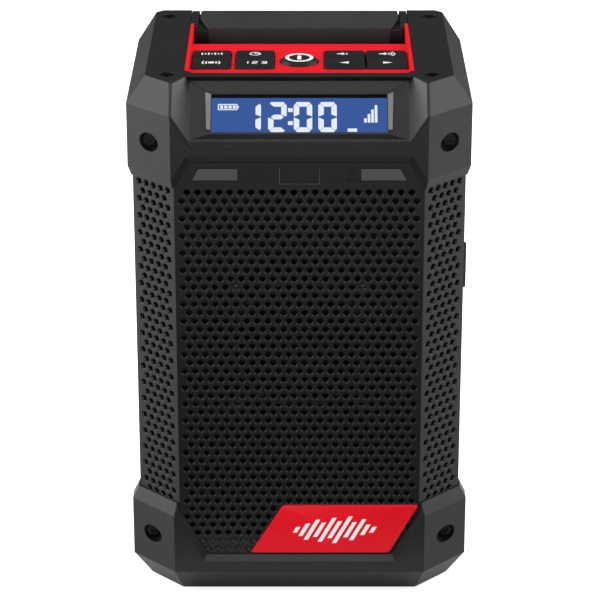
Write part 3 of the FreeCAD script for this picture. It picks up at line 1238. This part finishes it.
def make_display():
    p = Piece("display_bezel")
    slant = "(wing_run / wing_rise)"
    a = f"(display_half + bezel_side - {slant} * bezel_floor)"
    outline = [
        (f"-{a}", "-bezel_floor"), (a, "-bezel_floor"),
        ("display_half + bezel_side + wing_run", "wing_rise"),
        ("display_half + wing_run", "wing_rise"), ("display_half", "0"), ("-display_half", "0"),
        ("-(display_half + wing_run)", "wing_rise"),
        ("-(display_half + bezel_side + wing_run)", "wing_rise"),
    ]
    p.trough_pad([outline], "-bezel_floor", "display_end - fit_gap")
    p.cut("XY", [rectangle("-guard_width", "-depth", "guard_width", "depth")], "frame_top",
          "frame_top + wing_rise")
    p.cut("XZ", [rectangle("-guard_width", "0", "guard_width", "2 * frame_top")], f"{FRONT} - wing_rise",
          FRONT)
    add_funnel(p)
    opening = rectangle("-screen_half", "screen_start", "screen_half", "screen_start + screen_height")
    p.slope_cut([opening], "-bezel_floor - past", "past")
    posts = [Circle(f"{sx}bezel_post_x", up, "bezel_post") for sx in SIDES
             for up in ("bezel_post_low", "bezel_post_high")]
    stack = "(-bezel_floor - window_thick - lcd_thick - light_thick)"
    p.slope_pad(posts, stack, "-bezel_floor + lap")
    p.slope_cut(resized(posts, "small_shank + screw_clear"), f"{stack} - past", "-bezel_floor + fit_gap")
    border = "window_border"
    plate = rectangle(f"-(screen_half + {border})", f"screen_start - {border}", f"screen_half + {border}",
                      f"screen_start + screen_height + {border}")
    w = Piece("display_window")
    w.slope_pad([plate], "-bezel_floor - window_thick", "-bezel_floor")
    g = Piece("lcd_panel")
    g.slope_pad([plate], "-bezel_floor - window_thick - lcd_thick", "-bezel_floor - window_thick")
    b = Piece("display_board")
    b.slope_pad([plate], f"{stack} - fit_gap", "-bezel_floor - window_thick - lcd_thick")
    board = rectangle("-display_board_half", "display_board_low", "display_board_half",
                      "display_board_high")
    b.slope_pad([board], f"{stack} - board_thick", stack)
    b.slope_cut(resized(posts, "small_shank + fit_gap"), f"{stack} - board_thick - past", f"{stack} + past")
    turn = math.radians(value("display_slope"))
    places = [slope_place(post.across, post.up, f"{stack} - board_thick") for post in posts]
    board_screws(places, (0, -math.sin(turn), math.cos(turn)))


KEYS = [
    ("key_band", "-key_column_outer", "key_row_rear", "key_width"),
    ("key_link", "-key_column_outer", "key_row_front", "key_width"),
    ("key_clock", "-key_column_inner", "key_row_rear", "key_width"),
    ("key_preset", "-key_column_inner", "key_row_front", "key_width"),
    ("key_volume_down", "key_right_inner", "key_row_rear", "key_right_width"),
    ("key_tune_down", "key_right_inner", "key_row_front", "key_right_width"),
    ("key_volume_up", "key_right_outer", "key_row_rear", "key_right_width"),
    ("key_tune_up", "key_right_outer", "key_row_front", "key_right_width"),
]


def panel_posts(radius):
    """The four posts of the control panel seen from above."""
    return [Circle(f"{sx}panel_post_x", from_front(place), radius)
            for sx in SIDES for place in ("panel_post_front", "panel_post_rear")]


def key_openings():
    """Openings of the panel: two columns at the left, one wide block at the right, one round."""
    front = from_front("(key_row_front - key_length / 2 - key_gap)")
    rear = from_front("(key_row_rear + key_length / 2 + key_gap)")
    outlines = [
        rectangle(f"{x} - key_width / 2 - key_gap", front, f"{x} + key_width / 2 + key_gap", rear)
        for x in ("-key_column_outer", "-key_column_inner")
    ]
    outlines.append(rectangle("key_right_inner - key_right_width / 2 - key_gap", front,
                              "key_right_outer + key_right_width / 2 + key_gap", rear))
    outlines.append(Circle("0", from_front("power_place"), "power_radius + key_gap"))
    return outlines


def make_panel():
    p = Piece("control_panel")
    half = "(deck_half - fit_gap)"
    front = from_front("deck_front + fit_gap")
    rear = from_front("panel_rear")
    plate = [
        (f"-({half} - deck_corner)", front), (f"{half} - deck_corner", front),
        (half, f"{front} + deck_corner"),
        (half, rear), (f"-{half}", rear), (f"-{half}", f"{front} + deck_corner"),
    ]
    p.pad("XY", [plate], PANEL_LOW, PANEL_TOP)
    wing = [
        (f"{front} + deck_corner", f"{PANEL_LOW} + lap"), (rear, f"{PANEL_LOW} + lap"),
        (f"{rear} + fit_gap", "frame_top - wing_drop"), (from_front("wing_tip"), "frame_top - fit_gap"),
        (f"{front} + deck_corner", "frame_top - fit_gap"),
    ]
    for side in (f"{half} - side_wall", f"-{half}"):
        p.pad("YZ", [wing], side, f"{side} + side_wall")
    inside = "(deck_half - ledge - seam_gap)"
    p.pad("XY", [rectangle(f"-{inside}", f"{rear} - skirt_thick", inside, rear)], "hand_floor",
          f"{PANEL_LOW} + past")
    p.cut("XY", key_openings(), f"{PANEL_LOW} - past", f"{PANEL_TOP} + past")
    p.pad("XY", panel_posts("post_radius"), BOARD_TOP, f"{PANEL_LOW} + lap")
    p.cut("XY", panel_posts("small_shank + screw_clear"), f"{BOARD_TOP} - past", f"{PANEL_LOW} + fit_gap")


def make_keypad():
    inside = "(deck_half - ledge - 2 * fit_gap)"
    board_low = f"({BOARD_TOP} - board_thick)"
    b = Piece("keypad_board")
    b.pad("XY", [rectangle(f"-{inside}", from_front("keypad_front"), inside, from_front("keypad_rear"))],
          board_low, BOARD_TOP)
    b.cut("XY", panel_posts("small_shank + fit_gap"), f"{board_low} - past", f"{BOARD_TOP} + past")
    m = Piece("keypad_membrane")
    reach = "(key_length / 2 + membrane_border)"
    sheet_plan = rectangle(f"-({inside} - fit_gap)", from_front(f"key_row_front - {reach}"),
                           f"{inside} - fit_gap",
                           from_front(f"key_row_rear + {reach} + fit_gap"))
    m.pad("XY", [sheet_plan], BOARD_TOP, f"{BOARD_TOP} + membrane_thick")
    board_screws([(post.across, post.up, board_low) for post in panel_posts("small_shank")], (0, 0, 1))


def make_keys():
    top = f"({PANEL_TOP} + key_proud)"
    for label, x, row, width in KEYS:
        p = Piece(label)
        y = from_front(row)

        def face(inset):
            return rectangle(f"{x} - {width} / 2 + {inset}", f"{y} - key_length / 2 + {inset}",
                             f"{x} + {width} / 2 - {inset}", f"{y} + key_length / 2 - {inset}")

        p.pad("XY", [face("0")], KEY_LOW, f"{top} - key_edge")
        a = p.sketch("XY", [face("0")], f"{top} - key_edge")
        b = p.sketch("XY", [face("key_edge")], top)
        p.loft("Additive", [a, b])
        before, behind = ("key_flange", "0") if row == "key_row_front" else ("0", "key_flange")
        flange = rectangle(f"{x} - {width} / 2", f"{y} - key_length / 2 - {before}", f"{x} + {width} / 2",
                           f"{y} + key_length / 2 + {behind}")
        p.pad("XY", [flange], KEY_LOW, f"{KEY_LOW} + key_lip")


def make_power_key():
    p = Piece("power_key")
    y = from_front("power_place")
    wall_top = f"({PANEL_TOP} + power_rise)"
    p.pad("XY", [Circle("0", y, "power_radius")], KEY_LOW, wall_top)
    a = p.sketch("XY", [Circle("0", y, "power_radius")], wall_top)
    b = p.sketch("XY", [Circle("0", y, "power_top_radius")], f"{PANEL_TOP} + power_dome")
    p.loft("Additive", [a, b])
    p.pad("XY", [Circle("0", y, "power_radius + power_lip")], KEY_LOW, f"{KEY_LOW} + key_lip")


def make_handle_core():
    p = Piece("handle_core")
    half = "(deck_half - fit_gap)"
    front = "(handle_front + handle_behind)"
    back = f"({BACK} - handle_skin)"
    foot = f"({from_front(front)} + handle_foot)"
    arc = [(f"{foot} - handle_foot * cos({turn})", f"{HANDLE_LOW} + handle_round * (1 - sin({turn}))")
           for turn in (0, 30, 60, 90)]
    profile = arc + [
        (f"{back} - handle_behind", HANDLE_LOW), (back, f"{HANDLE_LOW} + handle_behind"),
        (back, "frame_top - handle_drop"), (from_front(front), "frame_top - handle_drop"),
    ]
    p.pad("YZ", [profile], f"-{half}", half)
    end = rectangle("grip_half + end_gap", from_front(front), half, back)
    p.pad("XY", [end, mirrored(end)], "frame_top - handle_drop - past", "frame_top - handle_skin")
    notch = rectangle(f"{half} - side_wall - seam_gap", from_front("handle_front - past"),
                      "frame_width / 2",
                      from_front("wing_tip + wing_gap"))
    p.cut("XY", [notch, mirrored(notch)], f"{HANDLE_LOW} - past", "frame_top + past")
    tongue = rectangle(f"{half} - past", from_front("tongue_front"), "tongue_out",
                       from_front("tongue_rear"))
    p.pad("XY", [tongue, mirrored(tongue)], "roof_under", "roof_under + tongue_tall")
    hole = Circle("rail_screw_x_rear", from_front("rail_screw_rear"), "rail_shank + rail_clear")
    p.cut("XY", [hole, mirrored(hole)], "roof_under - past", "roof_under + tongue_tall + past")


def make_handle_grip():
    g = Piece("handle_grip")
    start = from_front("handle_front")
    turn = f"({BACK} - grip_straight)"
    outline = [
        ("-grip_front_half", start), ("grip_front_half", start), ("grip_half", turn), ("grip_half", BACK),
        ("-grip_half", BACK), ("-grip_half", turn),
    ]
    g.pad("XY", [outline], "frame_top - handle_drop", "frame_top")
    skirt = rectangle("-grip_front_half", start, "grip_front_half", f"{start} + handle_behind")
    g.pad("XY", [skirt], f"{HANDLE_LOW} + handle_round", "frame_top - handle_drop + lap")


def make_handle_well():
    w = Piece("handle_well")
    side = "(deck_half + screw_clear)"
    outer = f"({side} + well_thick)"
    start = from_front("well_front")
    w.pad("XY", [rectangle(f"-{outer}", start, outer, BODY_BACK)], "hand_floor - well_thick", "hand_floor")
    wall = rectangle(side, start, outer, BODY_BACK)
    w.pad("XY", [wall, mirrored(wall)], "hand_floor - past", "roof_under")


def make_main_board():
    top = "(board_low + board_thick)"
    p = Piece("main_board")
    plan = rectangle("-main_half", from_front("main_front"), "main_half", from_front("main_rear"))
    p.pad("XY", [plan], "board_low", top)
    processor = rectangle("-sink_left", from_front("sink_front"), "-sink_left + sink_width",
                          from_front("sink_front + sink_width"))
    memory = rectangle("0", from_front("sink_front"), "sink_width / 2",
                       from_front("sink_front + sink_width / 2"))
    p.pad("XY", [processor, memory], f"{top} - fit_gap", f"{top} + chip_tall")
    p.cut("XY", main_stands("small_shank + fit_gap"), "board_low - past", f"{top} + past")
    board_screws([(c.across, c.up, top) for c in main_stands("small_shank")], (0, 0, -1))
    s = Piece("heat_sink")
    front, back = from_front("sink_front"), from_front("sink_front + sink_width")
    s.pad("XY", [rectangle("sink_left", front, "sink_left + sink_width", back)], top, f"{top} + sink_base")
    fins = [rectangle(f"sink_left + {k} * fin_pitch", front, f"sink_left + {k} * fin_pitch + fin_thick",
                      back)
            for k in range(5)]
    s.pad("XY", fins, f"{top} + sink_base - fit_gap", f"{top} + sink_tall")


def along_rod(name, radius, left, length):
    """A cylinder on the antenna's axis."""
    return cylinder(name, radius, length, (left, from_front("rod_front"), "rod_height"), (1, 0, 0))


def make_antenna():
    rod = along_rod("ferrite_rod_body", "rod_radius", "-rod_half", "2 * rod_half")
    rod.Label = "ferrite_rod"
    FINAL["ferrite_rod"] = rod
    start = "(-rod_half + coil_start)"
    sleeve = along_rod("coil_sleeve", "coil_outer", start, "coil_length")
    bore = along_rod("coil_bore", "rod_radius + rod_clear", f"{start} - past", "coil_length + 2 * past")
    subtract("antenna_coil", sleeve, bore)
    stand = Piece("antenna_cradle")
    front, back = from_front("rod_front - cradle_half"), from_front("rod_front + cradle_half")
    half = "(rod_half - past)"
    stand.pad("XY", [rectangle(f"-{half}", front, half, back)], "partition", "partition + cradle_floor")
    upright = rectangle(f"-{half}", front, f"-{half} + cradle_foot", back)
    stand.pad("XY", [upright, mirrored(upright)], "partition + past", "rod_height + cradle_rise")
    stand.cut("YZ", [Circle(from_front("rod_front"), "rod_height", "rod_radius + rod_clear")],
              "-rod_half - past", "rod_half + past")


def port_rectangle(middle, half, rise):
    """A rectangle on the side wall about a place behind the port's middle."""
    return rectangle(f"port_place + {middle} - {half}", f"port_height - {rise}",
                     f"port_place + {middle} + {half}",
                     f"port_height + {rise}")


PORT_WALL = f"({BODY_SIDE} - wall)"


def make_sockets():
    plate = Piece("port_plate")
    inside = f"{PORT_WALL} - port_plate_thick"
    plate.pad("YZ", [port_rectangle("0", "(port_length / 2 - port_margin + port_plate_lap)",
                                    "(port_rise / 2 - port_margin + port_plate_lap)")], inside, PORT_WALL)
    plate.cut("YZ", [port_rectangle("usb_middle", "(usb_half + fit_gap)", "(usb_rise + fit_gap)"),
                     Circle("port_place - jack_middle", "port_height", "jack_nose + fit_gap")],
              f"{inside} - past", f"{PORT_WALL} + past")
    usb = Piece("usb_port")
    back = f"({PORT_WALL} - socket_deep)"
    usb.pad("YZ", [port_rectangle("usb_middle", "usb_half", "usb_rise")], back, PORT_WALL)
    usb.pad("YZ", [port_rectangle("usb_middle", "(usb_half + 3 * lap)", "jack_half")],
            f"{inside} - jack_half", inside)
    hollow = port_rectangle("usb_middle", "(usb_half - usb_skin)", "(usb_rise - usb_skin)")
    usb.cut("YZ", [hollow], f"{back} + socket_back", f"{PORT_WALL} + past")
    reach = "(usb_half - usb_skin - past)"
    tongue = rectangle(f"port_place + usb_middle - {reach}", "port_height",
                       f"port_place + usb_middle + {reach}",
                       "port_height + usb_tongue")
    usb.pad("YZ", [tongue], f"{back} + socket_back - lap", f"{PORT_WALL} - past")
    jack = Piece("aux_jack")
    nose = Circle("port_place - jack_middle", "port_height", "jack_nose")
    jack.pad("YZ", [nose], back, f"{PORT_WALL} + fit_gap")
    jack.pad("YZ", [port_rectangle("(0 - jack_middle)", "jack_half", "jack_half")], back, inside)
    jack.cut("YZ", resized([nose], "jack_radius"), f"{back} + socket_back", f"{PORT_WALL} + past")


def make_door():
    door = Piece("port_door")
    inner = f"({BODY_SIDE} + seam_gap)"
    low, high = "(port_height - port_rise / 2)", "(port_height + port_rise / 2)"
    edge = "(port_place - port_length / 2)"
    door.pad("YZ", [rectangle(f"{edge} + seam_gap", low, f"{edge} + port_length", high)], inner,
             f"{inner} + port_skin")
    between = (f"{low} + lug_tall + seam_gap", f"{high} - lug_tall - seam_gap")
    arm = rectangle(f"{HINGE_X} - 2 * lug_radius / 3", HINGE_Y, f"{HINGE_X} + lug_radius / 2",
                    f"{edge} + past")
    door.pad("XY", [arm], *between)
    door.pad("XY", [Circle(HINGE_X, HINGE_Y, "lug_radius")], *between)
    door.cut("XY", [Circle(HINGE_X, HINGE_Y, "pin_radius + pin_clear")], low, high)
    tab = rectangle(f"{edge} + port_length - past", "port_height - tab_half",
                    f"{edge} + port_length + tab_length",
                    "port_height + tab_half")
    door.pad("YZ", [tab], f"{inner} + lap", f"{inner} + port_skin")
    pin = cylinder("hinge_pin_rod", "pin_radius", "port_rise", (HINGE_X, HINGE_Y, low), (0, 0, 1))
    pin.Label = "port_pin"
    FINAL["port_pin"] = pin


fill_sheet()
for make in (make_lower_guard, make_feet, make_upper_frame, make_screws, make_housing, make_grille,
             make_indicators,
             make_badge, make_baffle, make_speaker, make_radiator, make_rear_grille, make_bay, make_inlet,
             make_display,
             make_panel, make_keypad, make_keys, make_power_key, make_handle_core, make_handle_grip,
             make_handle_well,
             make_main_board, make_antenna, make_sockets, make_door):
    make()
group("board_screws", BOARD_SCREWS)
doc.recompute()
broken = [o.Name for o in doc.Objects if {"Invalid", "Error"} & set(o.State)]
for label, obj in FINAL.items():
    shape = obj.Shape
    if shape.isNull() or not shape.isValid() or not shape.Solids:
        broken.append(label)
if broken:
    raise RuntimeError("not built: " + ", ".join(broken))
os.makedirs("parts", exist_ok=True)
for label, obj in FINAL.items():
    obj.Shape.exportStep(f"parts/{label}.step")
print(len(FINAL), "parts written")
